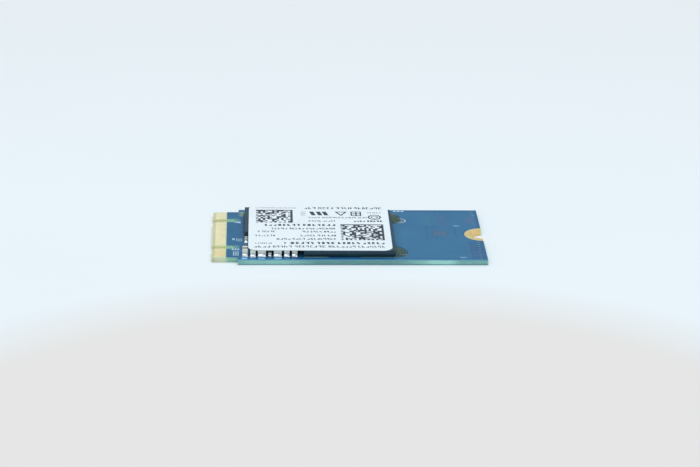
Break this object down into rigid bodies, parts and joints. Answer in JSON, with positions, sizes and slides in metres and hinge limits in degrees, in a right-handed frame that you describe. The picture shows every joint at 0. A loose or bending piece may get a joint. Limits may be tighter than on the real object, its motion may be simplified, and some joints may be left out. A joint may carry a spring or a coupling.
{
  "type": "solid state drive",
  "caption": "Solid state drive on a plug-in card: gold edge contacts with two key notches, flash and controller packages under a label, and a half-round screw notch.",
  "frame": {"origin": "the middle of the card's footprint, on the surface that its underside lies on", "axes": "+X from the contacts towards the screw notch, +Y across the card towards the narrow outer group of contacts beside the key notch at five contacts, +Z out of the face that carries the parts"},
  "size_m": [0.042, 0.022, 0.002],
  "materials": {
    "laminate": "woven glass and epoxy, cut edges slightly see-through",
    "inner_copper": "bare copper",
    "solder_mask": "semi-gloss blue lacquer",
    "silkscreen": "matt white ink",
    "gold": "satin gold plating over copper",
    "hole_plating": "gold plating",
    "solder": "bright solder",
    "tinned_pad": "tinned copper",
    "moulding": "fine matt epoxy moulding compound",
    "substrate": "dark green package board",
    "silicon": "polished silicon",
    "bond_wire": "fine gold wire",
    "resin": "cured clear brown-green resin",
    "capacitor_ceramic": "grey-brown fired ceramic",
    "inductor_ferrite": "dark ferrite",
    "terminal": "matt tin plating",
    "coil": "copper turns",
    "resistor_ceramic": "white alumina",
    "resistor_coat": "black glaze",
    "crystal_ceramic": "cream ceramic",
    "quartz": "clear quartz",
    "crystal_cover": "matt nickel",
    "label_paper": "smooth white label with dark print",
    "label_glue": "clear pressure-sensitive glue"
  },
  "bodies": {
    "root": {"laminate_lower": "laminate", "laminate_core": "laminate", "laminate_upper": "laminate", "ground_plane": "inner_copper", "power_plane": "inner_copper", "copper_top": "inner_copper", "copper_bottom": "inner_copper", "board_vias": "inner_copper", "solder_mask_top": "solder_mask", "solder_mask_bottom": "solder_mask", "silkscreen_top": "silkscreen", "silkscreen_bottom": "silkscreen", "edge_contacts_top": "gold", "edge_contacts_bottom": "gold", "screw_land_top": "gold", "screw_land_bottom": "gold", "screw_notch_plating": "hole_plating", "fiducial_pad": "gold", "test_pads_top": "tinned_pad", "test_pads_bottom": "gold", "component_lands": "tinned_pad", "solder_fillets": "solder", "controller_substrate": "substrate", "controller_die": "silicon", "controller_bond_wires": "bond_wire", "controller_mould": "moulding", "controller_solder_balls": "solder", "controller_underfill": "resin", "flash_substrate": "substrate", "flash_die_1": "silicon", "flash_die_2": "silicon", "flash_die_3": "silicon", "flash_die_4": "silicon", "flash_bond_wires": "bond_wire", "flash_mould": "moulding", "flash_solder_balls": "solder", "flash_corner_adhesive": "resin", "power_chip_body": "moulding", "power_chip_pads": "terminal", "power_chip_die": "silicon", "inductor_bodies": "inductor_ferrite", "inductor_terminals": "terminal", "inductor_coils": "coil", "bulk_capacitor_bodies": "capacitor_ceramic", "bulk_capacitor_terminals": "terminal", "small_capacitor_bodies": "capacitor_ceramic", "small_capacitor_terminals": "terminal", "resistor_bodies": "resistor_ceramic", "resistor_terminals": "terminal", "resistor_elements": "resistor_coat", "crystal_base": "crystal_ceramic", "crystal_blank": "quartz", "crystal_lid": "crystal_cover", "label_adhesive": "label_glue", "label_sheet": "label_paper"}
  },
  "joints": []
}
